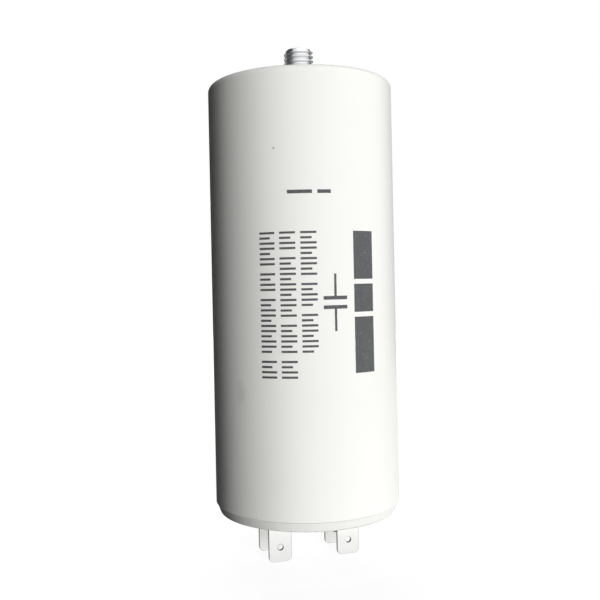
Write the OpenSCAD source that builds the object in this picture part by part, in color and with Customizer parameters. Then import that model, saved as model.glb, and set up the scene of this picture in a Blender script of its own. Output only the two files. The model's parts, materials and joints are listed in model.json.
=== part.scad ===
// Motor run capacitor: a film winding potted in a white plastic can.
// An M8 stud stands on the closed end, and two double quick-connect
// terminals are riveted to the lid at the other end.
// The origin is on the axis, on the face of the closed end. The stud points up.

/* [Can] */
// Outside diameter of the can
can_d = 50; // [46:0.5:60]
// Length of the can, from its closed end to its open rim
can_len = 113; // [95:0.5:150]
// Thickness of the can's side wall
can_wall = 1.6; // [1.2:0.1:2.2]
// Thickness of the can's closed end
floor_t = 3; // [2:0.1:5]
// Rounding of the closed end's outer edge
edge_r = 1.8; // [0.5:0.1:2]
// Rounding inside the can, where the closed end meets the wall
inner_r = 1.5; // [0.5:0.1:3]
// Bevel of the can's rim, at the seam with the lid
seam_bevel = 0.3; // [0.1:0.05:0.5]
// Plastic round the corners of the stud's head
boss_wall = 1.5; // [1:0.1:3]
// Plastic under the stud's head
boss_cover = 1.5; // [1:0.1:3]
// Resin space between the boss and the winding
boss_gap = 1.4; // [0.5:0.1:4]
// Thickness of the ribs that hold the winding off the closed end
rib_t = 1.6; // [1:0.1:3]
// Number of those ribs
rib_count = 6; // [4:2:8]

/* [Mounting stud] */
// Outside diameter of the stud's thread
stud_d = 8; // [6:1:10]
// Length of the stud above the closed end
stud_len = 10; // [8:0.5:20]
// Bevel at the stud's tip
stud_bevel = 0.8; // [0.3:0.1:1.5]
// How far the stud's collar stands out past the thread
collar_step = 1; // [0.5:0.1:1.5]
// Width of the hexagonal head across its flats
head_af = 12; // [12:0.5:15]
// Height of the hexagonal head
head_h = 3.5; // [2:0.1:6]

/* [Lid] */
// Height of the lid's rim, from the seam to the outer face
lid_rim_h = 2.4; // [1.8:0.1:3]
// Slope of the rim's side, in degrees from the axis
lid_slope = 20; // [5:1:30]
// Rounding of the rim's outer edge
lid_edge_r = 0.6; // [0.3:0.1:1]
// How far the lid's rim lies inside the can's outline
lid_inset = 0.3; // [0:0.05:0.5]
// Thickness of the lid's plate
lid_t = 3.2; // [3:0.1:5]
// Length of the spigot inside the can, from the seam
spigot_len = 6; // [3:0.5:10]
// Thickness of the spigot's wall
spigot_wall = 1.6; // [1:0.1:3]
// Radial clearance of the spigot in the can
spigot_clear = 0.1; // [0.05:0.05:0.3]
// Bevel that leads the spigot into the can
spigot_bevel = 0.5; // [0.2:0.1:1]
// Height of the frame that keeps a terminal from turning
seat_h = 1; // [0.5:0.1:2]
// Thickness of that frame
seat_wall = 1; // [0.6:0.1:2]
// Clearance of a terminal in its frame
seat_clear = 0.15; // [0.05:0.05:0.4]

/* [Terminals] */
// Width of a quick-connect blade
blade_w = 6.3; // [4.8:0.1:7]
// Thickness of a blade
blade_t = 0.8; // [0.5:0.1:1]
// Reach of the blades below the lid's outer face
blade_reach = 12.5; // [9:0.5:16]
// Distance between the two blades of a terminal
blade_pitch = 10; // [9:0.5:14]
// Distance between the two terminals
terminal_pitch = 19.2; // [16:0.2:22]
// Inside radius of a terminal's two folds
bend_r = 0.8; // [0.4:0.1:1.2]
// Rounding of a blade's tip corners
tip_r = 1.4; // [0.5:0.1:2]
// Depth of the bevel on each face of a blade's tip
tip_bevel = 0.2; // [0.1:0.05:0.25]
// Length of that bevel along the blade
tip_bevel_len = 1; // [0.5:0.1:1.5]
// Diameter of a blade's detent hole
detent_d = 1.6; // [1.2:0.1:2]
// Distance from a blade's tip to its detent hole
detent_from_tip = 3.9; // [3:0.1:5]

/* [Rivets and tags] */
// Diameter of a rivet's shank
rivet_d = 3.2; // [2.6:0.1:4]
// Diameter of a rivet's head, between the blades
rivet_head_d = 5.4; // [5:0.1:6]
// Height of a rivet's head
rivet_head_h = 0.9; // [0.6:0.1:1.4]
// Diameter of a rivet's clinched end, inside the lid
clinch_d = 5; // [4.6:0.1:6]
// Height of the clinched end
clinch_h = 0.8; // [0.6:0.1:1.4]
// Bevel on a rivet's head and on its clinched end
rivet_bevel = 0.3; // [0.1:0.05:0.5]
// Diameter of the hollow in the clinched end
rivet_bore = 1.8; // [1:0.1:2.2]
// Depth of that hollow
rivet_bore_depth = 2.5; // [1:0.1:3.5]
// Radial clearance round a rivet's shank
rivet_clear = 0.05; // [0.02:0.01:0.1]
// Diameter of a solder tag's ring, round the rivet
tag_ring_d = 6.5; // [6:0.1:8]
// Width of a solder tag's tail
tag_w = 4; // [3:0.1:5]
// Thickness of a solder tag
tag_t = 0.6; // [0.4:0.1:1]
// Distance from the rivet to the tag's wire hole
tag_reach = 5.4; // [5:0.1:6]
// Radial clearance of a wire in the tag's hole
tag_clear = 0.1; // [0.05:0.05:0.2]

/* [Winding] */
// Outside diameter of the core tube
core_d = 9; // [7:0.5:12]
// Bore of the core tube
core_bore = 6; // [3:0.5:6.5]
// Thickness of the plain film wound over the roll
wrap_t = 0.3; // [0.1:0.1:1]
// Thickness of the metal sprayed on each end of the roll
spray_t = 0.7; // [0.3:0.1:1.5]
// Depth of resin below the winding's lower end
resin_cover = 8.6; // [4:0.2:12]
// Distance from the resin's surface to where the left lead turns inwards
resin_gap = 2.7; // [1:0.1:5]

/* [Leads] */
// Diameter of a lead's wire
wire_d = 1.2; // [0.8:0.1:1.5]
// Outside diameter of a lead's sleeve
sleeve_d = 2.2; // [2:0.1:3]
// Radial clearance of a wire in its sleeve
sleeve_clear = 0.05; // [0.02:0.01:0.1]
// Room on each side of the left lead, between the winding and the can
lead_play = 0.2; // [0.1:0.05:1]
// Radius of a lead's bends, at the wire's centre
lead_bend = 1.8; // [1.7:0.1:2.4]
// Gap between the left lead and the spigot's edge
lead_gap = 2.4; // [0.5:0.1:4]
// Straight run between the right lead's two bends
lead_jog = 1; // [0.2:0.1:2]
// Length of wire left bare at a soldered end
bare_end = 3; // [2:0.1:4]
// Diameter of a solder joint on the sprayed metal
solder_d = 4; // [3:0.1:5]
// Diameter of a solder joint where it meets the wire
solder_top_d = 2; // [1.8:0.1:2.5]
// Height of a solder joint
solder_h = 0.9; // [0.5:0.1:1.2]
// Gap between the upper solder joint and the boss
solder_gap = 0.3; // [0.1:0.1:2]

/* [Hidden] */
$fn = 96;

// How far a raised feature runs into the wall that carries it, and a cut runs past a face
fuse = 0.5;

// Radii about the can's axis
can_r = can_d / 2;
bore_r = can_r - can_wall;
lid_r = can_r - lid_inset;
spigot_r = bore_r - spigot_clear;
wrap_r = bore_r - sleeve_d - 2 * lead_play;
film_r = wrap_r - wrap_t;
stud_r = stud_d / 2;
collar_r = stud_r + collar_step;
head_d = head_af / cos(30);
boss_r = head_d / 2 + boss_wall;

// Levels from the closed end down to the blades' tips
standoff = head_h + boss_cover + boss_gap;
z_floor = -floor_t;
z_boss = z_floor - head_h - boss_cover;
z_wind_top = z_floor - standoff;
z_rim = -can_len;
z_lid = z_rim - lid_rim_h;
z_lid_in = z_lid + lid_t;
z_tip = z_lid - blade_reach;
z_run = z_rim + spigot_len + lead_gap + sleeve_d / 2;
z_resin = z_run + lead_bend + resin_gap;
z_wind_end = z_resin + resin_cover;
z_film_top = z_wind_top - spray_t;
z_film_end = z_wind_end + spray_t;
z_rivet_head = z_lid - blade_t;
z_clinch = z_lid_in + tag_t;

// A folded terminal: span over both blades, room between them, radius outside a fold
strip_span = blade_pitch + blade_t;
strip_room = blade_pitch - blade_t;
fold_r = bend_r + blade_t;
rivet_hole_d = rivet_d + 2 * rivet_clear;

// Centre of the rounding on the lid's edge, in its half section
lid_edge_z = z_lid + lid_edge_r;
lid_edge_x = lid_r - (lid_rim_h - lid_edge_r) * tan(lid_slope) - lid_edge_r / cos(lid_slope);

// Places of the leads, and each lead as a list of straight lengths and turns
tag_x = terminal_pitch / 2 + tag_reach;
lead_r = bore_r - lead_play - sleeve_d / 2;
solder_upper_r = boss_r + solder_gap + solder_d / 2;
solder_lower_r = tag_x - 2 * lead_bend - lead_jog;
z_lead = z_floor - standoff / 2;
lead_out = lead_r - solder_upper_r - 2 * lead_bend;
lead_down = z_lead - z_run - 2 * lead_bend;
lead_in = lead_r - tag_x - 2 * lead_bend;
lead_drop = z_wind_end - z_run - lead_bend;
lead_end = z_run - lead_bend - z_lid_in;
left_wire = [[z_lead - z_wind_top - lead_bend, -90], [lead_out, -90], [lead_down, -90], [lead_in, 90],
             [lead_end, 0]];
left_sleeve = [[lead_out, -90], [lead_down, -90], [lead_in, 90], [lead_end - bare_end, 0]];
right_wire = [[lead_drop, -90], [lead_jog, 90], [lead_end, 0]];
right_sleeve = [[lead_drop - bare_end, -90], [lead_jog, 90], [lead_end - bare_end, 0]];

white_plastic = [0.94, 0.94, 0.93];
plated_steel = [0.72, 0.73, 0.74];
tinned_brass = [0.86, 0.86, 0.84];
soft_solder = [0.66, 0.67, 0.69];
sprayed_zinc = [0.52, 0.53, 0.55];

// Half section from the axis out to r, with its upper outer corner rounded
module rounded_plug(r, z_low, z_high, corner) {
    translate([0, z_low])
        square([r, z_high - corner - z_low]);
    translate([0, z_low])
        square([r - corner, z_high - z_low]);
    translate([r - corner, z_high - corner])
        intersection() {
            circle(r = corner);
            square(corner);
        }
}

// Half section of the lid's rim: a side that slopes in to a rounded edge
module rim_section() {
    polygon([
        [0, z_rim], [lid_r, z_rim],
        [lid_edge_x + lid_edge_r * cos(lid_slope), lid_edge_z - lid_edge_r * sin(lid_slope)],
        [lid_edge_x, z_lid], [0, z_lid]
    ]);
    translate([lid_edge_x, lid_edge_z])
        intersection() {
            circle(r = lid_edge_r);
            translate([0, -lid_edge_r])
                square(lid_edge_r);
        }
}

// Cutter that takes a 45 degree bevel off the corner of a half section
module corner_bevel(r, z, size) {
    translate([r, z])
        rotate(45)
            square(size * sqrt(2), center = true);
}

// Flat ring or tube about the axis, between two levels
module ring(r_in, r_out, z_low, z_high) {
    rotate_extrude()
        translate([r_in, z_low])
            square([r_out - r_in, z_high - z_low]);
}

module rounded_rectangle(x, y, r) {
    square([x, y - 2 * r], center = true);
    square([x - 2 * r, y], center = true);
    for (sx = [-1, 1], sy = [-1, 1])
        translate([sx * (x / 2 - r), sy * (y / 2 - r)])
            circle(r = r);
}

// Puts a piece of the right terminal in its place, or of the left with side = -1
module at_terminal(side) {
    rotate([0, 0, side < 0 ? 180 : 0])
        translate([terminal_pitch / 2, 0, 0])
            children();
}

// Boss on the closed end, round the stud's head
module boss() {
    translate([0, 0, z_boss])
        cylinder(r = boss_r, h = z_floor + fuse - z_boss);
}

// Ribs from the boss to the wall, which the winding's upper end rests on
module standoff_ribs() {
    for (i = [0 : rib_count - 1])
        rotate([0, 0, (i + 0.5) * 360 / rib_count])
            translate([boss_r - fuse, -rib_t / 2, z_wind_top])
                cube([bore_r - boss_r + 2 * fuse, rib_t, standoff + fuse]);
}

// Stud with its collar and head, at its full size for the plastic moulded round it
module stud_body() {
    rotate_extrude()
        polygon([
            [0, z_floor], [collar_r, z_floor], [collar_r, 0], [stud_r, 0],
            [stud_r, stud_len - stud_bevel], [stud_r - stud_bevel, stud_len], [0, stud_len]
        ]);
    translate([0, 0, z_floor - head_h])
        cylinder(d = head_d, h = head_h, $fn = 6);
}

// Raised frame round a terminal's base
module terminal_seat() {
    pocket = [blade_w + 2 * seat_clear, strip_span + 2 * seat_clear];
    translate([0, 0, z_lid - seat_h])
        linear_extrude(seat_h + fuse)
            difference() {
                rounded_rectangle(pocket[0] + 2 * seat_wall, pocket[1] + 2 * seat_wall, seat_wall);
                square(pocket, center = true);
            }
}

// Side view of the folded strip: y across the blades, z along them
module strip_section() {
    difference() {
        union() {
            translate([-strip_span / 2, z_tip])
                square([strip_span, blade_reach - fold_r]);
            translate([fold_r - strip_span / 2, z_tip])
                square([strip_span - 2 * fold_r, blade_reach]);
            for (s = [-1, 1])
                translate([s * (strip_span / 2 - fold_r), z_lid - fold_r])
                    circle(r = fold_r);
        }
        translate([-strip_room / 2, z_tip - fuse])
            square([strip_room, blade_reach - fold_r + fuse]);
        translate([bend_r - strip_room / 2, z_tip - fuse])
            square([strip_room - 2 * bend_r, blade_reach - blade_t + fuse]);
        for (s = [-1, 1])
            translate([s * (strip_room / 2 - bend_r), z_lid - fold_r])
                circle(r = bend_r);
        for (s = [-1, 1], face = [-1, 1])
            translate([s * blade_pitch / 2 + face * blade_t / 2, z_tip])
                polygon([[0, tip_bevel_len], [-face * tip_bevel, 0], [-face * tip_bevel, -fuse],
                         [face * fuse, -fuse], [face * fuse, tip_bevel_len]]);
    }
}

// Front view of a blade: x across it, z along it
module blade_outline() {
    translate([-blade_w / 2, z_tip + tip_r])
        square([blade_w, blade_reach - tip_r + fuse]);
    translate([tip_r - blade_w / 2, z_tip])
        square([blade_w - 2 * tip_r, blade_reach]);
    for (s = [-1, 1])
        translate([s * (blade_w / 2 - tip_r), z_tip + tip_r])
            circle(r = tip_r);
}

// Strip folded to a U with two blades, detent holes and a hole for its rivet
module terminal() {
    difference() {
        intersection() {
            rotate([90, 0, 90])
                linear_extrude(blade_w + 2 * fuse, center = true)
                    strip_section();
            rotate([90, 0, 0])
                linear_extrude(strip_span + 2 * fuse, center = true)
                    blade_outline();
        }
        translate([0, 0, z_tip + detent_from_tip])
            rotate([90, 0, 0])
                cylinder(d = detent_d, h = strip_span + 2 * fuse, center = true);
        translate([0, 0, z_lid - blade_t - fuse])
            cylinder(d = rivet_hole_d, h = blade_t + 2 * fuse);
    }
}

// Semi-tubular rivet: head between the blades, clinched end over the solder tag
module rivet() {
    z_head_end = z_rivet_head - rivet_head_h;
    z_clinch_end = z_clinch + clinch_h;
    rotate_extrude()
        difference() {
            union() {
                translate([0, z_head_end])
                    square([rivet_d / 2, z_clinch_end - z_head_end]);
                translate([0, z_head_end])
                    square([rivet_head_d / 2, rivet_head_h]);
                translate([0, z_clinch])
                    square([clinch_d / 2, clinch_h]);
            }
            translate([0, z_clinch_end - rivet_bore_depth])
                square([rivet_bore / 2, rivet_bore_depth + fuse]);
            corner_bevel(rivet_head_d / 2, z_head_end, rivet_bevel);
            corner_bevel(clinch_d / 2, z_clinch_end, rivet_bevel);
        }
}

// Flat tag: ring under the rivet, tail with a hole for the wire
module solder_tag() {
    translate([0, 0, z_lid_in])
        linear_extrude(tag_t)
            difference() {
                union() {
                    circle(d = tag_ring_d);
                    translate([0, -tag_w / 2])
                        square([tag_reach, tag_w]);
                    translate([tag_reach, 0])
                        circle(d = tag_w);
                }
                circle(d = rivet_hole_d);
                translate([tag_reach, 0])
                    circle(d = wire_d + 2 * tag_clear);
            }
}

// Round bar that runs along z, then bends towards +x or, for a negative turn, -x, and so on
module lead_path(d, steps, i = 0) {
    if (i < len(steps)) {
        straight = steps[i][0];
        turn = steps[i][1];
        way = sign(turn);
        angle = abs(turn);
        cylinder(d = d, h = straight);
        translate([0, 0, straight]) {
            if (angle > 0)
                mirror([way < 0 ? 1 : 0, 0, 0])
                    translate([lead_bend, 0, 0])
                        rotate([90, 0, 0])
                            rotate([0, 0, 180 - angle])
                                rotate_extrude(angle = angle)
                                    translate([lead_bend, 0])
                                        circle(d = d);
            translate([way * lead_bend * (1 - cos(angle)), 0, lead_bend * sin(angle)])
                rotate([0, turn, 0])
                    lead_path(d, steps, i + 1);
        }
    }
}

// Start of the left lead, on the winding's upper end
module at_left_lead() {
    translate([-solder_upper_r, 0, z_wind_top])
        children();
}

// Start of the left sleeve, past the lead's first bend
module at_left_sleeve() {
    translate([-solder_upper_r - lead_bend, 0, z_lead])
        rotate([0, -90, 0])
            children();
}

// Start of the right lead, on the winding's lower end, or a distance along it
module at_right_lead(along = 0) {
    translate([solder_lower_r, 0, z_wind_end - along])
        rotate([0, 180, 0])
            children();
}

// Cone of solder round the start of a wire
module solder_cone() {
    rotate_extrude()
        polygon([
            [wire_d / 2, 0], [solder_d / 2, 0], [solder_top_d / 2, solder_h], [wire_d / 2, solder_h]
        ]);
}

module can() {
    color(white_plastic)
        difference() {
            union() {
                rotate_extrude()
                    difference() {
                        rounded_plug(can_r, z_rim, 0, edge_r);
                        rounded_plug(bore_r, z_rim - fuse, z_floor, inner_r);
                        corner_bevel(can_r, z_rim, seam_bevel);
                    }
                boss();
                standoff_ribs();
            }
            stud_body();
        }
}

module mounting_stud() {
    color(plated_steel)
        stud_body();
}

module lid() {
    color(white_plastic)
        difference() {
            union() {
                rotate_extrude()
                    difference() {
                        union() {
                            rim_section();
                            translate([0, z_rim - fuse])
                                square([spigot_r, z_lid_in - z_rim + fuse]);
                            translate([spigot_r - spigot_wall, z_rim - fuse])
                                square([spigot_wall, spigot_len + fuse]);
                        }
                        corner_bevel(spigot_r, z_rim + spigot_len, spigot_bevel);
                    }
                for (side = [-1, 1])
                    at_terminal(side)
                        terminal_seat();
            }
            for (side = [-1, 1])
                at_terminal(side)
                    translate([0, 0, z_lid - fuse])
                        cylinder(d = rivet_hole_d, h = lid_t + 2 * fuse);
        }
}

module terminal_left() {
    color(tinned_brass)
        at_terminal(-1)
            terminal();
}

module terminal_right() {
    color(tinned_brass)
        at_terminal(1)
            terminal();
}

module rivet_left() {
    color(tinned_brass)
        at_terminal(-1)
            rivet();
}

module rivet_right() {
    color(tinned_brass)
        at_terminal(1)
            rivet();
}

module solder_tag_left() {
    color(tinned_brass)
        at_terminal(-1)
            solder_tag();
}

module solder_tag_right() {
    color(tinned_brass)
        at_terminal(1)
            solder_tag();
}

module lead_wire_left() {
    color(soft_solder)
        at_left_lead()
            lead_path(wire_d, left_wire);
}

module lead_wire_right() {
    color(soft_solder)
        at_right_lead()
            lead_path(wire_d, right_wire);
}

module lead_sleeve_left() {
    color("firebrick")
        difference() {
            at_left_sleeve()
                lead_path(sleeve_d, left_sleeve);
            at_left_lead()
                lead_path(wire_d + 2 * sleeve_clear, left_wire);
        }
}

module lead_sleeve_right() {
    color("black")
        difference() {
            at_right_lead(bare_end)
                lead_path(sleeve_d, right_sleeve);
            at_right_lead()
                lead_path(wire_d + 2 * sleeve_clear, right_wire);
        }
}

module solder_joint_upper() {
    color(soft_solder)
        at_left_lead()
            solder_cone();
}

module solder_joint_lower() {
    color(soft_solder)
        at_right_lead()
            solder_cone();
}

module winding_core() {
    color("lightgray")
        ring(core_bore / 2, core_d / 2, z_wind_end, z_wind_top);
}

module film_winding() {
    color("silver")
        ring(core_d / 2, film_r, z_film_end, z_film_top);
}

module outer_wrap() {
    color("gainsboro")
        ring(film_r, wrap_r, z_film_end, z_film_top);
}

module sprayed_end_upper() {
    color(sprayed_zinc)
        ring(core_d / 2, wrap_r, z_film_top, z_wind_top);
}

module sprayed_end_lower() {
    color(sprayed_zinc)
        ring(core_d / 2, wrap_r, z_wind_end, z_film_end);
}

// Resin poured round the winding, through its core and round the leads
module potting_resin() {
    color("darkgoldenrod")
        difference() {
            rotate_extrude()
                rounded_plug(bore_r, z_resin, z_floor, inner_r);
            boss();
            standoff_ribs();
            ring(core_bore / 2, wrap_r, z_wind_end, z_wind_top);
            at_left_lead() {
                lead_path(wire_d, left_wire);
                solder_cone();
            }
            at_right_lead() {
                lead_path(wire_d, right_wire);
                solder_cone();
            }
            at_left_sleeve()
                lead_path(sleeve_d, left_sleeve);
            at_right_lead(bare_end)
                lead_path(sleeve_d, right_sleeve);
        }
}

can();
mounting_stud();
lid();
terminal_left();
terminal_right();
rivet_left();
rivet_right();
solder_tag_left();
solder_tag_right();
lead_wire_left();
lead_wire_right();
lead_sleeve_left();
lead_sleeve_right();
solder_joint_upper();
solder_joint_lower();
winding_core();
film_winding();
outer_wrap();
sprayed_end_upper();
sprayed_end_lower();
potting_resin();
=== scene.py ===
import json
import math

import bmesh
import bpy
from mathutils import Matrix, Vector


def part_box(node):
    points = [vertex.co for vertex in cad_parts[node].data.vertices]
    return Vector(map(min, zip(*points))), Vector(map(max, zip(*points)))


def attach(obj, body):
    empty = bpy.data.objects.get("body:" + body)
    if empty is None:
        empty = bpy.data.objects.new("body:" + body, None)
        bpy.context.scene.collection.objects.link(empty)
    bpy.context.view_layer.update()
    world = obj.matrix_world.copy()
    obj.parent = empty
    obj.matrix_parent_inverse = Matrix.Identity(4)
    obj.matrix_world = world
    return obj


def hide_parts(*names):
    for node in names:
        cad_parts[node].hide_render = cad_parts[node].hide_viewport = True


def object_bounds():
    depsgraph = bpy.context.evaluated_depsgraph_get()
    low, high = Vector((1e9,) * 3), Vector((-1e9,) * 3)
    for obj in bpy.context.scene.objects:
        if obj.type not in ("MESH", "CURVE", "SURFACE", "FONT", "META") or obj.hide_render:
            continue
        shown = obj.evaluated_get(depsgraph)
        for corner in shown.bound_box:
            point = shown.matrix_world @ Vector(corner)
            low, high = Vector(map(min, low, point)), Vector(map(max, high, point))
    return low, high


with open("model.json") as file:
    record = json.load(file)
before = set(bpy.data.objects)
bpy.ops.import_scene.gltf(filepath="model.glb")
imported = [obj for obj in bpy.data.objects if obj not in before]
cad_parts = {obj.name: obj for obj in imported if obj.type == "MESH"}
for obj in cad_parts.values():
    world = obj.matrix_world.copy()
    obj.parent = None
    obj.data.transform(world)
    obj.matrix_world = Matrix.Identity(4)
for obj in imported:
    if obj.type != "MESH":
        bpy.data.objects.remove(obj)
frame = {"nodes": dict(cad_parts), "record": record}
cad_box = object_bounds()


# Mounting stud
# A steel stud with a rolled M8 coarse thread, a collar and a hexagonal head, zinc plated.
# It is put in the mould first: the can is moulded round its collar and head, and the thread stands out.
class Wire:
    """An output in a node tree: arithmetic on wires adds Math nodes, and node() adds any other node."""

    def __init__(self, tree, socket=None):
        self.tree = tree
        self.socket = socket

    def node(self, kind, settings=None, inputs=None):
        """Adds a node: its settings first, then values or wires for its sockets, by name or by place."""
        made = self.tree.nodes.new(kind)
        for name, value in (settings or {}).items():
            setattr(made, name, value)
        open_sockets = [socket for socket in made.inputs if socket.enabled]
        for key, value in (inputs or {}).items():
            if isinstance(key, int):
                socket = open_sockets[key]
            else:
                socket = next(s for s in open_sockets if s.name == key)
            for source in value if isinstance(value, list) else [value]:
                if isinstance(source, Wire):
                    self.tree.links.new(source.socket, socket)
                else:
                    socket.default_value = source
        return Wire(self.tree, next((s for s in made.outputs if s.enabled), None))

    def out(self, name):
        """Another output of the node that this wire comes from."""
        return Wire(self.tree, self.socket.node.outputs[name])

    def math(self, operation, *others):
        """This value, and any others, through a Math node."""
        return self.node("ShaderNodeMath", {"operation": operation}, dict(enumerate((self, *others))))

    def __add__(self, other):
        return self.math("ADD", other)

    __radd__ = __add__

    def __sub__(self, other):
        return self.math("SUBTRACT", other)

    def __rsub__(self, other):
        return self.math("MULTIPLY_ADD", -1, other)

    def __mul__(self, other):
        return self.math("MULTIPLY", other)

    __rmul__ = __mul__

    def __truediv__(self, other):
        return self.math("DIVIDE", other)

    def __lt__(self, other):
        return self.math("LESS_THAN", other)

    def __gt__(self, other):
        return self.math("GREATER_THAN", other)

    def within(self, low, high):
        """How far the value lies from low to high, from 0 to 1."""
        return self.node("ShaderNodeMapRange", None, {"Value": self, "From Min": low, "From Max": high})

    def limited(self, low, high):
        return self.math("MAXIMUM", low).math("MINIMUM", high)

    def blend(self, first, second):
        """The first colour where this value is 0, and the second where it is 1."""
        settings = {"data_type": "RGBA"}
        return self.node("ShaderNodeMix", settings, {"Factor": self, "A": first, "B": second})


def colour(red, green, blue):
    return (red, green, blue, 1.0)


def finished(name, look):
    """A material. The look is a function from an empty tree's wire to the sockets of a Principled shader."""
    material = bpy.data.materials.new(name)
    material.use_nodes = True
    material.node_tree.nodes.clear()
    start = Wire(material.node_tree)
    shader = start.node("ShaderNodeBsdfPrincipled", None, look(start))
    start.node("ShaderNodeOutputMaterial", None, {"Surface": shader})
    return material


def object_place(start):
    return start.node("ShaderNodeTexCoord").out("Object")


def noise(start, place, scale, detail=2.0, roughness=0.5):
    inputs = {"Vector": place, "Scale": scale, "Detail": detail, "Roughness": roughness}
    return start.node("ShaderNodeTexNoise", None, inputs)


def stretched(start, place, scale):
    """The place with each of its axes scaled, for a grain that runs one way."""
    return start.node("ShaderNodeMapping", None, {"Vector": place, "Scale": scale})


def height_of(start, place):
    return start.node("ShaderNodeSeparateXYZ", None, {"Vector": place}).out("Z")


def from_axis(start, place):
    """How far the place lies from the stud's and the can's axis."""
    axes = start.node("ShaderNodeSeparateXYZ", None, {"Vector": place})
    flat = start.node("ShaderNodeCombineXYZ", None, {"X": axes.out("X"), "Y": axes.out("Y")})
    return start.node("ShaderNodeVectorMath", {"operation": "LENGTH"}, {0: flat}).out("Value")


def bump(start, height, strength, distance):
    return start.node("ShaderNodeBump", None, {"Height": height, "Strength": strength, "Distance": distance})


stud_mount = next(mount for mount in frame["record"]["mounts"] if mount["name"] == "stud")
stud_low, stud_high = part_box("mounting_stud")
thread_radius = stud_mount["dims"]["r_mm"] / 1000
thread_pitch = 0.00125
thread_length = stud_high.z
depth_in_pitches = 0.6134
crest_flat_in_pitches = 1 / 8
root_flat_in_pitches = 1 / 4
thread_depth = depth_in_pitches * thread_pitch
tip_bevel = 0.0008
collar_radius = 0.005
collar_depth = 0.003
head_sides = 6
end_skin = 0.00005
turning_rate = 26000.0
stud_sides = 96
steps_per_turn = 16
collar_rows = 3
thread_rows = steps_per_turn * round(thread_length / thread_pitch + 1)
weld_distance = 1e-6
thread_crease = math.radians(35)


def zinc_plate(start):
    place = object_place(start)
    height = height_of(start, place)
    spread = from_axis(start, place)
    on_thread = height < thread_length - tip_bevel
    on_end = height > thread_length - end_skin
    # Painted shade: the thread's roots are coloured darker than the crests, as shade would fall in the
    # grooves.
    root = (thread_radius - spread).within(0, thread_depth) * on_thread
    turned = 0.5 + 0.5 * (spread * turning_rate).math("SINE")
    grain = noise(start, place, scale=2600.0, detail=3.0)
    patches = noise(start, place, scale=420.0)
    bright = patches.blend(colour(0.78, 0.79, 0.80), colour(0.86, 0.87, 0.88))
    return {
        "Base Color": root.blend(bright, colour(0.74, 0.75, 0.76)),
        "Metallic": 1.0,
        "Roughness": 0.22 + 0.12 * root + 0.10 * patches,
        "Normal": bump(start, grain + turned * on_end, strength=0.12, distance=0.00005),
    }


def new_tree(name, inputs):
    """A geometry tree with named inputs, and the wire of its input node."""
    tree = bpy.data.node_groups.new(name, "GeometryNodeTree")
    for label, kind in inputs.items():
        tree.interface.new_socket(label, in_out="INPUT", socket_type="NodeSocket" + kind)
    tree.interface.new_socket("Geometry", in_out="OUTPUT", socket_type="NodeSocketGeometry")
    return tree, Wire(tree).node("NodeGroupInput")


def end_tree(geometry, material):
    whole = geometry.node("GeometryNodeRealizeInstances", None, {"Geometry": geometry})
    dressed = whole.node("GeometryNodeSetMaterial", None, {"Geometry": whole, "Material": material})
    dressed.node("NodeGroupOutput", None, {"Geometry": dressed})


def new_object(name, data):
    made = bpy.data.objects.new(name, data)
    bpy.context.scene.collection.objects.link(made)
    return made


def settle(piece):
    """Makes what a piece's modifiers do a part of its own mesh."""
    evaluated = piece.evaluated_get(bpy.context.evaluated_depsgraph_get())
    piece.data = bpy.data.meshes.new_from_object(evaluated)
    piece.modifiers.clear()


def grown(name, tree, inputs, seed_mesh=None):
    """A piece made by a geometry tree from its named inputs, turned into a plain closed mesh."""
    piece = new_object(name, seed_mesh or bpy.data.meshes.new(name))
    modifier = piece.modifiers.new(tree.name, "NODES")
    modifier.node_group = tree
    for socket in tree.interface.items_tree:
        if socket.in_out == "INPUT":
            modifier[socket.identifier] = inputs[socket.name]
    settle(piece)
    return piece


def tidy_shell(piece, sharp_angle):
    """Turns a closed mesh's faces outwards and shades it smooth up to an angle."""
    shell = bmesh.new()
    shell.from_mesh(piece.data)
    bmesh.ops.recalc_face_normals(shell, faces=shell.faces)
    shell.to_mesh(piece.data)
    shell.free()
    piece.data.shade_smooth()
    piece.data.set_sharp_from_angle(angle=sharp_angle)


thread_inputs = {
    "Thread radius": "Float",
    "Thread depth": "Float",
    "Pitch": "Float",
    "Length": "Float",
    "Tip bevel": "Float",
    "Collar radius": "Float",
    "Collar depth": "Float",
    "Head radius": "Float",
    "Head height": "Float",
    "Sides": "Int",
    "Rows": "Int",
    "Material": "Material",
}
thread_tree, stud_size = new_tree("threaded_stud", thread_inputs)
sides = stud_size.out("Sides")
rows = stud_size.out("Rows")
pitch = stud_size.out("Pitch")
length = stud_size.out("Length")
sheet = stud_size.node(
    "GeometryNodeMeshGrid",
    None,
    {"Size X": sides, "Size Y": rows, "Vertices X": sides + 1, "Vertices Y": rows + 1},
)
sheet_place = stud_size.node("GeometryNodeInputPosition")
sheet_axes = sheet_place.node("ShaderNodeSeparateXYZ", None, {"Vector": sheet_place})
turn = sheet_axes.out("X") / sides + 0.5
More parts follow.
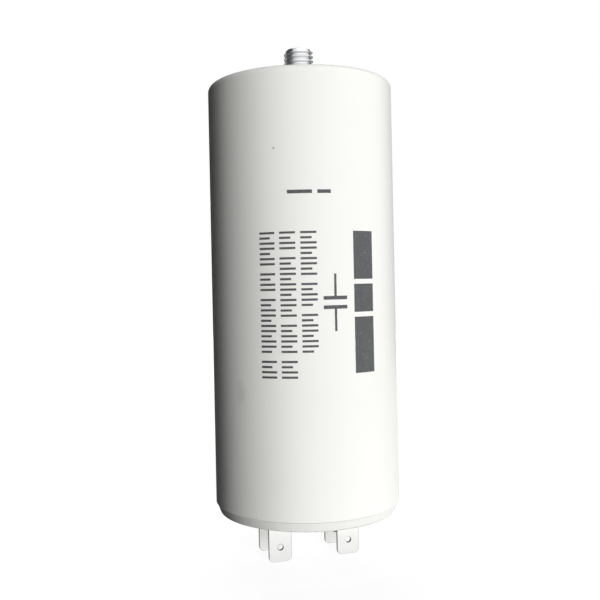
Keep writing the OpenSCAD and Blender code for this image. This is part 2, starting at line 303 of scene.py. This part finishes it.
# The sheet's rows from below are the middle and the edge of the collar's foot, the collar's top edge,
# the thread, and the middle of the tip.
row = sheet_axes.out("Y") + rows / 2
step = row - collar_rows
on_thread = row > collar_rows - 0.5
rise = ((step / steps_per_turn + turn - 1) * pitch).limited(0, length)
phase = (rise / pitch - turn).math("FRACT")
from_crest = 2 * (phase - 0.5).math("ABSOLUTE")
cut = from_crest.within(crest_flat_in_pitches, 1 - root_flat_in_pitches)
rolled = stud_size.out("Thread radius") - stud_size.out("Thread depth") * cut
bevelled = stud_size.out("Thread radius") - stud_size.out("Tip bevel") + length - rise
outside = rolled.math("MINIMUM", bevelled) * on_thread
outside = outside + stud_size.out("Collar radius") * (1 - on_thread)
outside = outside * (row > 0.5) * (row < rows - 0.5)
level = rise * on_thread - stud_size.out("Collar depth") * (row < 1.5)
angle = turn * (2 * math.pi)
stud_place = sheet_place.node(
    "ShaderNodeCombineXYZ",
    None,
    {"X": outside * angle.math("COSINE"), "Y": outside * angle.math("SINE"), "Z": level},
)
wound = sheet.node("GeometryNodeSetPosition", None, {"Geometry": sheet, "Position": stud_place})
joined = wound.node("GeometryNodeMergeByDistance", None, {"Geometry": wound, "Distance": weld_distance})
head = stud_size.node(
    "GeometryNodeMeshCylinder",
    None,
    {"Vertices": head_sides, "Radius": stud_size.out("Head radius"), "Depth": stud_size.out("Head height")},
)
head_level = 0 - stud_size.out("Collar depth") - stud_size.out("Head height") / 2
head_place = head_level.node("ShaderNodeCombineXYZ", None, {"Z": head_level})
seated_head = head.node("GeometryNodeTransform", None, {"Geometry": head, "Translation": head_place})
whole_stud = joined.node("GeometryNodeJoinGeometry", None, {"Geometry": [joined, seated_head]})
end_tree(whole_stud, stud_size.out("Material"))

threaded_stud = grown(
    "threaded_stud",
    thread_tree,
    {
        "Thread radius": thread_radius,
        "Thread depth": thread_depth,
        "Pitch": thread_pitch,
        "Length": thread_length,
        "Tip bevel": tip_bevel,
        "Collar radius": collar_radius,
        "Collar depth": collar_depth,
        "Head radius": stud_high.x,
        "Head height": -collar_depth - stud_low.z,
        "Sides": stud_sides,
        "Rows": collar_rows + thread_rows + 1,
        "Material": finished("zinc_plate", zinc_plate),
    },
)
tidy_shell(threaded_stud, thread_crease)
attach(threaded_stud, "root")
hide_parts("mounting_stud")


# Can
# A cup injection moulded in white plastic, satin from the mould's finely blasted face.
# One dark speck was moulded into its side, and handling left a faint smudge lower down.
def dress(material, *nodes):
    for node in nodes:
        mesh = frame["nodes"][node].data
        mesh.materials.clear()
        mesh.materials.append(material)


can_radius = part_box("can")[1].x
view_azimuth = math.radians(-18)


def on_can(right_of_view, z):
    """A point on the can's side, at an angle to the right of the view and a height."""
    around = view_azimuth + right_of_view
    return Vector((can_radius * math.sin(around), -can_radius * math.cos(around), z))


speck_place = on_can(math.radians(-15.3), z=-0.0206)
speck_radius = 0.0004
speck_darkness = 0.65
smudge_place = on_can(math.radians(-40.6), z=-0.0815)
smudge_radius = 0.0021
smudge_length = 0.0042
smudge_darkness = 0.12
spot_unevenness = 0.75
spot_edge_start = 0.6
spot_edge_end = 1.4


def spot(start, place, centre, radius, length):
    """1 inside a spot with an uneven edge, as long as given along the can, fading to 0 outside it."""
    apart = start.node("ShaderNodeVectorMath", {"operation": "SUBTRACT"}, {0: place, 1: tuple(centre)})
    squeezed = stretched(start, apart, (1.0, 1.0, radius / length))
    away = start.node("ShaderNodeVectorMath", {"operation": "LENGTH"}, {0: squeezed}).out("Value")
    edge = away + spot_unevenness * radius * noise(start, place, scale=1 / radius)
    return 1 - edge.within(spot_edge_start * radius, spot_edge_end * radius)


def moulded_white(start):
    place = object_place(start)
    clouds = noise(start, place, scale=45.0)
    grain = noise(start, place, scale=5200.0)
    ripple = noise(start, place, scale=160.0, detail=1.0)
    plastic = clouds.blend(colour(0.868, 0.867, 0.832), colour(0.896, 0.895, 0.862))
    speck = spot(start, place, speck_place, speck_radius, speck_radius)
    smudge = spot(start, place, smudge_place, smudge_radius, smudge_length)
    dirt = speck_darkness * speck + smudge_darkness * smudge
    return {
        "Base Color": dirt.blend(plastic, colour(0.16, 0.15, 0.13)),
        "Roughness": 0.34 + 0.08 * clouds,
        "Normal": bump(start, 0.35 * grain + ripple, strength=0.06, distance=0.0002),
    }


white_plastic = finished("moulded_white", moulded_white)
dress(white_plastic, "can")


# Core, film and wrap
# The winding: a plastic core tube, metallised film wound on it, and plain film wound over the roll.
# The turns show as rings on the roll's two ends.
def extruded_tube(start):
    place = object_place(start)
    lines = noise(start, stretched(start, place, (900.0, 900.0, 20.0)), scale=1.0)
    return {
        "Base Color": lines.blend(colour(0.74, 0.74, 0.71), colour(0.82, 0.82, 0.80)),
        "Roughness": 0.42 + 0.1 * lines,
    }


ring_rate = 9000.0
ring_waver = 0.0002


def wound_film(start):
    place = object_place(start)
    spread = from_axis(start, place) + ring_waver * noise(start, place, scale=300.0)
    rings = 0.5 + 0.5 * (spread * ring_rate).math("SINE")
    return {
        "Base Color": rings.blend(colour(0.50, 0.50, 0.55), colour(0.72, 0.73, 0.77)),
        "Metallic": 0.8,
        "Roughness": 0.28 + 0.12 * rings,
        "Normal": bump(start, rings, strength=0.2, distance=0.00005),
    }


def plain_film(start):
    place = object_place(start)
    creases = noise(start, stretched(start, place, (60.0, 60.0, 12.0)), scale=1.0, detail=4.0)
    return {
        "Base Color": creases.blend(colour(0.76, 0.75, 0.71), colour(0.86, 0.86, 0.83)),
        "Roughness": 0.16 + 0.12 * creases,
        "Normal": bump(start, creases, strength=0.25, distance=0.0003),
    }


dress(finished("extruded_tube", extruded_tube), "winding_core")
dress(finished("wound_film", wound_film), "film_winding")
dress(finished("plain_film", plain_film), "outer_wrap")


# Sprayed ends
# Zinc sprayed as fine molten drops on both ends of the roll, which joins the edges of the film.
# It is matt, grainy and a little uneven.
def sprayed_zinc(start):
    place = object_place(start)
    drops = noise(start, place, scale=1800.0, detail=5.0, roughness=0.7)
    clouds = noise(start, place, scale=120.0)
    return {
        "Base Color": clouds.blend(colour(0.44, 0.45, 0.47), colour(0.58, 0.59, 0.61)),
        "Metallic": 0.9,
        "Roughness": 0.62 + 0.2 * drops,
        "Normal": bump(start, drops, strength=0.7, distance=0.0002),
    }


dress(finished("sprayed_zinc", sprayed_zinc), "sprayed_end_upper", "sprayed_end_lower")


# Leads
# Tinned copper wires in red and black plastic sleeves, which join the sprayed ends to the tags in the lid.
# Each wire is soft soldered to its end of the roll, and its other end goes through the hole in its tag.
def tinned_copper(start):
    place = object_place(start)
    drawn = noise(start, stretched(start, place, (3000.0, 3000.0, 90.0)), scale=1.0, detail=3.0)
    return {
        "Base Color": drawn.blend(colour(0.70, 0.66, 0.60), colour(0.82, 0.80, 0.76)),
        "Metallic": 1.0,
        "Roughness": 0.30 + 0.15 * drawn,
    }


def sleeve(dark, light):
    """The look of an extruded plastic sleeve that varies between two colours."""

    def extruded_sleeve(start):
        place = object_place(start)
        flow = noise(start, stretched(start, place, (700.0, 700.0, 40.0)), scale=1.0, detail=3.0)
        return {
            "Base Color": flow.blend(colour(*dark), colour(*light)),
            "Roughness": 0.40 + 0.15 * flow,
            "Normal": bump(start, flow, strength=0.1, distance=0.0001),
        }

    return extruded_sleeve


def soft_solder(start):
    place = object_place(start)
    crystals = noise(start, place, scale=900.0, detail=4.0)
    return {
        "Base Color": crystals.blend(colour(0.58, 0.59, 0.61), colour(0.74, 0.75, 0.77)),
        "Metallic": 1.0,
        "Roughness": 0.24 + 0.25 * crystals,
        "Normal": bump(start, crystals, strength=0.2, distance=0.0001),
    }


dress(finished("tinned_copper", tinned_copper), "lead_wire_left", "lead_wire_right")
dress(finished("red_sleeve", sleeve((0.40, 0.03, 0.02), (0.52, 0.06, 0.04))), "lead_sleeve_left")
dress(finished("black_sleeve", sleeve((0.02, 0.02, 0.02), (0.05, 0.05, 0.05))), "lead_sleeve_right")
dress(finished("soft_solder", soft_solder), "solder_joint_upper", "solder_joint_lower")


# Potting resin
# A two-part resin, amber and glossy, with fine bubbles near its surface.
# It is poured in round the winding, where it sets and holds the winding in the middle of the can.
bubble_floor = 0.05
bubble_rim = 0.22


def cast_resin(start):
    place = object_place(start)
    clouds = noise(start, place, scale=70.0, detail=3.0)
    bubbles = start.node("ShaderNodeTexVoronoi", None, {"Vector": place, "Scale": 700.0})
    pits = 1 - bubbles.within(bubble_floor, bubble_rim)
    return {
        "Base Color": clouds.blend(colour(0.30, 0.17, 0.05), colour(0.46, 0.29, 0.11)),
        "Roughness": 0.14 + 0.2 * pits,
        "Normal": bump(start, pits, strength=0.3, distance=0.0002),
    }


dress(finished("cast_resin", cast_resin), "potting_resin")


# Lid
# A disc of the same white plastic with a thin sloping rim, pressed into the can's mouth and welded there.
# Two raised frames on its face keep the terminals from turning.
dress(white_plastic, "lid")


# Terminals
# Strips of brass, tin plated and then stamped and folded to a U with a quick-connect blade at either end.
# The blades' tips are rounded and coined, a detent hole is pierced in each, and the cut edges are bare,
# painted darker than bare brass as painted shade on the edges and in the holes.
def tin_plate(start):
    place = object_place(start)
    rolled_lines = noise(start, stretched(start, place, (2400.0, 130.0, 130.0)), scale=1.0, detail=4.0)
    bloom = noise(start, place, scale=260.0, detail=3.0)
    plate = bloom.blend(colour(0.82, 0.82, 0.80), colour(0.90, 0.90, 0.885))
    # Cut faces take a dark grey: partly bare metal, partly painted shade on the edges and in the detent
    # holes.
    cut = start.node("ShaderNodeAttribute", {"attribute_name": "cut"}).out("Fac")
    return {
        "Base Color": cut.blend(plate, colour(0.26, 0.245, 0.205)),
        "Metallic": 1.0,
        "Roughness": 0.24 + 0.10 * rolled_lines + 0.10 * bloom + 0.2 * cut,
        "Normal": bump(start, rolled_lines, strength=0.08, distance=0.00004),
    }


tin = finished("tin_plate", tin_plate)
edge_break = 0.00012
edge_angle = math.radians(40)
flat_angle = math.radians(0.5)
corner_gap = 1e-7
fold_height = 0.002
sideways = 0.3
square_on = 0.95


def broken_edges(name, node):
    """A copy of a node's solid with its sharp edges broken by a small round."""
    source = frame["nodes"][node].data
    mesh = bpy.data.meshes.new(name)
    mesh.from_pydata([v.co for v in source.vertices], [], [list(p.vertices) for p in source.polygons])
    shell = bmesh.new()
    shell.from_mesh(mesh)
    bmesh.ops.remove_doubles(shell, verts=shell.verts, dist=corner_gap)
    bmesh.ops.dissolve_limit(shell, angle_limit=flat_angle, verts=shell.verts, edges=shell.edges)
    shell.to_mesh(mesh)
    shell.free()
    mesh.shade_smooth()
    piece = new_object(name, mesh)
    rounding = piece.modifiers.new("edges", "BEVEL")
    rounding.width = edge_break
    rounding.segments = 2
    rounding.limit_method = "ANGLE"
    rounding.angle_limit = edge_angle
    piece.modifiers.new("shading", "WEIGHTED_NORMAL")
    settle(piece)
    return piece


# The cut faces are those that face sideways and, on the blades, those that don't face square on. They are
# painted dark grey, partly their bare metal and partly painted shade.
for side in ("left", "right"):
    strip = broken_edges("blade_strip_" + side, "terminal_" + side)
    strip.data.materials.append(tin)
    blade_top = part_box("terminal_" + side)[1].z - fold_height
    cut_and_shaded_faces = strip.data.attributes.new("cut", "FLOAT", "FACE")
    for item, face in zip(cut_and_shaded_faces.data, strip.data.polygons):
        on_blade = face.center.z < blade_top
        item.value = abs(face.normal.x) > sideways or (on_blade and abs(face.normal.y) < square_on)
    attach(strip, "root")
    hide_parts("terminal_" + side)


# Rivets and solder tags
# Semi-tubular rivets clamp each terminal, the lid and a solder tag together, and are clinched inside.
# They are brass and tin plated, as the terminals are.
dress(tin, "rivet_left", "rivet_right", "solder_tag_left", "solder_tag_right")


# Print
# Dark grey pad print on the can's side: columns of fine bars, bold blocks, two dashes and a circuit symbol.
# The ink is about a hundredth of a millimetre thick and has fine pinholes.
ink_height = 0.000012
ink_root = 0.00004
field_top = -0.0412
field_end = -0.0765
pinhole_start = 0.66
pinhole_end = 0.74


def pad_ink(start):
    place = object_place(start)
    specks = noise(start, place, scale=4200.0, detail=3.0)
    pinholes = specks.within(pinhole_start, pinhole_end)
    thin = noise(start, place, scale=500.0)
    ink = thin.blend(colour(0.050, 0.054, 0.058), colour(0.085, 0.090, 0.094))
    return {
        "Base Color": pinholes.blend(ink, colour(0.60, 0.60, 0.585)),
        "Roughness": 0.46 + 0.12 * thin,
    }


def arc(right_of_view_degrees):
    """The way along the can's side from the middle of the view."""
    return can_radius * math.radians(right_of_view_degrees)


tick_thickness = 0.00055
tick_pitch = 0.00128
tick_width = 0.0040
short_tick_width = 0.0028
group_gap = 0.0012


def tick_column(right_of_view_degrees, groups):
    """Fine bars across a column, every third one short, in groups from the top of the field down."""
    middle = arc(right_of_view_degrees)
    z = field_top
    ticks = []
    for count in groups:
        for number in range(count):
            short = number % 3 == 1
            width = short_tick_width if short else tick_width
            ticks.append((middle - (tick_width - width) / 2, z - tick_thickness / 2, width, tick_thickness))
            z -= tick_pitch
        z -= group_gap
    return ticks


block_width = 0.0062
block_gap = 0.0012


def block_column(right_of_view_degrees, lengths):
    """Solid blocks of the given lengths, one under the other, from the top of the field down."""
    middle = arc(right_of_view_degrees)
    z = field_top
    blocks = []
    for block_length in lengths:
        blocks.append((middle, z - block_length / 2, block_width, block_length))
        z -= block_length + block_gap
    return blocks


# Each mark is its place along the can's side, its height, its width and its length.
marks = []
marks += tick_column(-20.5, [7, 4, 11, 4])
marks += tick_column(-8.5, [4, 12, 6, 4])
marks += tick_column(3.5, [9, 5, 8])
marks += block_column(37.5, [0.0120, 0.0070, 0.0140])

plate_width = 0.0062
plate_length = 0.0009
plate_gap = 0.0014
lead_width = 0.0006
lead_length = 0.0055
symbol_z = (field_top + field_end) / 2
symbol_arc = arc(18.5)
for way in (-1, 1):
    plate_z = symbol_z + way * (plate_gap + plate_length) / 2
    lead_z = symbol_z + way * (plate_gap / 2 + plate_length + lead_length / 2)
    marks.append((symbol_arc, plate_z, plate_width, plate_length))
    marks.append((symbol_arc, lead_z, lead_width, lead_length))

dash_z = -0.0315
dash_thickness = 0.0009
dash_lengths = {-1.0: 0.0062, 13.0: 0.0034}
for right_of_view_degrees, dash_length in dash_lengths.items():
    marks.append((arc(right_of_view_degrees), dash_z, dash_length, dash_thickness))

bar_steps = 12
print_crease = math.radians(40)
print_inputs = {"Geometry": "Geometry", "Can radius": "Float", "Facing": "Float", "Material": "Material"}
print_tree, print_size = new_tree("pad_print", print_inputs)
bar = print_size.node(
    "GeometryNodeMeshCube",
    None,
    {"Size": (1.0, 1.0, 1.0), "Vertices X": bar_steps + 1, "Vertices Y": 2, "Vertices Z": 2},
)
bar_size = print_size.node(
    "GeometryNodeInputNamedAttribute",
    {"data_type": "FLOAT_VECTOR"},
    {"Name": "size"},
)
placed = bar.node(
    "GeometryNodeInstanceOnPoints",
    None,
    {"Points": print_size.out("Geometry"), "Instance": bar, "Scale": bar_size},
)
loose = placed.node("GeometryNodeRealizeInstances", None, {"Geometry": placed})
flat_place = loose.node("GeometryNodeInputPosition")
flat_axes = flat_place.node("ShaderNodeSeparateXYZ", None, {"Vector": flat_place})
around = print_size.out("Facing") + flat_axes.out("X") / print_size.out("Can radius")
out_to = print_size.out("Can radius") + flat_axes.out("Y")
print_place = flat_place.node(
    "ShaderNodeCombineXYZ",
    None,
    {
        "X": out_to * around.math("SINE"),
        "Y": 0 - out_to * around.math("COSINE"),
        "Z": flat_axes.out("Z"),
    },
)
bent = loose.node("GeometryNodeSetPosition", None, {"Geometry": loose, "Position": print_place})
end_tree(bent, print_size.out("Material"))

bar_points = bpy.data.meshes.new("print_points")
ink_middle = (ink_height - ink_root) / 2
bar_points.from_pydata([(along, ink_middle, z) for along, z, bar_width, bar_length in marks], [], [])
sizes = bar_points.attributes.new("size", "FLOAT_VECTOR", "POINT")
for item, (along, z, bar_width, bar_length) in zip(sizes.data, marks):
    item.vector = (bar_width, ink_height + ink_root, bar_length)
pad_print = grown(
    "pad_print",
    print_tree,
    {
        "Geometry": None,
        "Can radius": can_radius,
        "Facing": view_azimuth,
        "Material": finished("pad_ink", pad_ink),
    },
    bar_points,
)
tidy_shell(pad_print, print_crease)
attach(pad_print, "root")


# Studio
# A white floor at the blades' tips, its glow painted a little darker near the object as painted shade, a
# white surround, and soft light from the right of the camera.
# The metals reflect a dark screen round the back, as a photographer sets up round a white object,
# and a bright card on the right. Paper on the floor throws light up at the lid.
floor_z = cad_box[0].z
floor_reach = 12.0
floor_shade_start = 0.1
floor_shade_end = 0.5


def seen_directly(start):
    """1 for rays from the camera, and for those that metal or glass sends on."""
    path = start.node("ShaderNodeLightPath")
    rays = path.out("Is Camera Ray") + path.out("Is Glossy Ray") + path.out("Is Transmission Ray")
    return rays.limited(0, 1)


floor_mesh = bpy.data.meshes.new("floor")
corners = [(-1, -1), (1, -1), (1, 1), (-1, 1)]
floor_mesh.from_pydata([(x * floor_reach, y * floor_reach, floor_z) for x, y in corners], [], [(0, 1, 2, 3)])


def floor_white(start):
    # Painted shade: the floor's glow is 0.93 within a tenth of a metre of the object, rising to full white
    # half a metre out.
    away = from_axis(start, object_place(start)).within(floor_shade_start, floor_shade_end)
    glow_with_painted_shade = away.blend(colour(0.93, 0.93, 0.93), colour(1.0, 1.0, 1.0))
    below = start.node("ShaderNodeNewGeometry").out("Backfacing")
    return {
        "Base Color": colour(0.12, 0.12, 0.12),
        "Roughness": 1.0,
        "Specular IOR Level": 0.0,
        "Emission Color": seen_directly(start).blend(colour(0.0, 0.0, 0.0), glow_with_painted_shade),
        "Emission Strength": 1.0,
        "Alpha": 1 - below,
    }


floor_mesh.materials.append(finished("floor_white", floor_white))
new_object("floor", floor_mesh)

fill_strength = 0.028
world = bpy.data.worlds.new("studio")
bpy.context.scene.world = world
world.use_nodes = True
world.node_tree.nodes.clear()
world_start = Wire(world.node_tree)
strength = fill_strength + (1 - fill_strength) * seen_directly(world_start)
surround = world_start.node(
    "ShaderNodeBackground",
    None,
    {"Color": colour(1.0, 1.0, 1.0), "Strength": strength},
)
world_start.node("ShaderNodeOutputWorld", None, {"Surface": surround})

studio_centre = Vector((0, 0, (cad_box[0].z + cad_box[1].z) / 2))


def studio_place(right_of_view_degrees, up_degrees, distance):
    """A point round the object, by its angles to the right of the camera and above the object's middle."""
    bearing = view_azimuth + math.radians(right_of_view_degrees)
    up = math.radians(up_degrees)
    level_out = distance * math.cos(up)
    out = Vector((level_out * math.sin(bearing), -level_out * math.cos(bearing), distance * math.sin(up)))
    return studio_centre + out


def soft_lamp(name, right, up, distance, width, height, watts):
    """A lamp with a wide face turned to the object, by its angles in degrees to the right and up."""
    lamp = bpy.data.lights.new(name, "AREA")
    lamp.shape = "RECTANGLE"
    lamp.size = width
    lamp.size_y = height
    lamp.energy = watts
    holder = new_object(name, lamp)
    holder.location = studio_place(right, up, distance)
    holder.rotation_euler = (studio_centre - holder.location).to_track_quat("-Z", "Y").to_euler()
    holder.visible_glossy = False


soft_lamp("key_lamp", right=26, up=9, distance=1.8, width=0.6, height=0.5, watts=31.0)
soft_lamp("side_lamp", right=110, up=14, distance=0.9, width=0.5, height=0.5, watts=2.5)
soft_lamp("top_lamp", right=180, up=80, distance=0.9, width=0.6, height=0.6, watts=1.6)
soft_lamp("back_lamp", right=180, up=15, distance=0.9, width=0.5, height=0.5, watts=7.4)

screen_distance = 0.5
screen_height = 0.9
screen_bearings = range(115, 311, 5)
flap_distance = 0.027
flap_bearings = range(200, 331, 10)
card_bearings = range(-15, 91, 5)
card_glow = 1.4
card_lift = 0.001
card_shade_start = 0.05
card_shade_end = 0.08
paper_bearings = range(-20, 101, 10)
paper_reach = 0.055


def studio_card(name, bearings, first_edge, second_edge, look, hidden_from):
    """A bent card round the object, hidden from the camera and from one more kind of ray.

    Each of its two edges is a distance from the object's axis and a height over the floor.
    """
    points = []
    for distance, height in (first_edge, second_edge):
        for bearing in bearings:
            place = studio_place(bearing, 0, distance)
            points.append((place.x, place.y, floor_z + height))
    count = len(bearings)
    faces = [(i, i + 1, count + i + 1, count + i) for i in range(count - 1)]
    mesh = bpy.data.meshes.new(name)
    mesh.from_pydata(points, [], faces)
    mesh.materials.append(finished(name, look))
    card = new_object(name, mesh)
    for rays in ("camera", "shadow", hidden_from):
        setattr(card, "visible_" + rays, False)


def black_card(start):
    return {"Base Color": colour(0.02, 0.02, 0.02), "Roughness": 0.9}


def white_card(start):
    away = from_axis(start, object_place(start)).within(card_shade_start, card_shade_end)
    return {
        "Base Color": colour(0.0, 0.0, 0.0),
        "Emission Color": away.blend(colour(0.75, 0.75, 0.75), colour(1.0, 1.0, 1.0)),
        "Emission Strength": card_glow,
    }


def white_paper(start):
    return {"Base Color": colour(0.65, 0.65, 0.65), "Roughness": 1.0, "Specular IOR Level": 0.0}


near_edge = (flap_distance, card_lift)
far_edge = (screen_distance, card_lift)
top_edge = (screen_distance, card_lift + screen_height)
paper_edge = (paper_reach, card_lift)
studio_card("dark_screen", screen_bearings, far_edge, top_edge, black_card, hidden_from="diffuse")
studio_card("dark_flap", flap_bearings, near_edge, far_edge, black_card, hidden_from="diffuse")
studio_card("bright_card", card_bearings, far_edge, top_edge, white_card, hidden_from="diffuse")
studio_card("bright_flap", card_bearings, near_edge, far_edge, white_card, hidden_from="diffuse")
studio_card("floor_paper", paper_bearings, near_edge, paper_edge, white_paper, hidden_from="glossy")

# The camera's place, lens, roll and aim are fitted to the can's outline in the photograph.
camera_distance = 0.2238
camera_z = -0.0539
pixels = 600
focal_pixels = 812.4
aim_x = 303.1
aim_y = 283.3
roll = math.radians(1.2)
pan = math.radians(1.5)
lens = bpy.data.cameras.new("camera")
lens.sensor_width = 36.0
lens.lens = focal_pixels / pixels * lens.sensor_width
lens.shift_x = (pixels / 2 - aim_x + focal_pixels * math.tan(pan)) / pixels
lens.shift_y = (aim_y - pixels / 2) / pixels
lens.clip_start = 0.01
lens.clip_end = 100.0
camera = new_object("camera", lens)
camera.location = (
    camera_distance * math.sin(view_azimuth),
    -camera_distance * math.cos(view_azimuth),
    camera_z,
)
camera.rotation_euler = (math.pi / 2, roll, view_azimuth + pan)
bpy.context.scene.camera = camera
bpy.context.scene.view_settings.view_transform = "Standard"
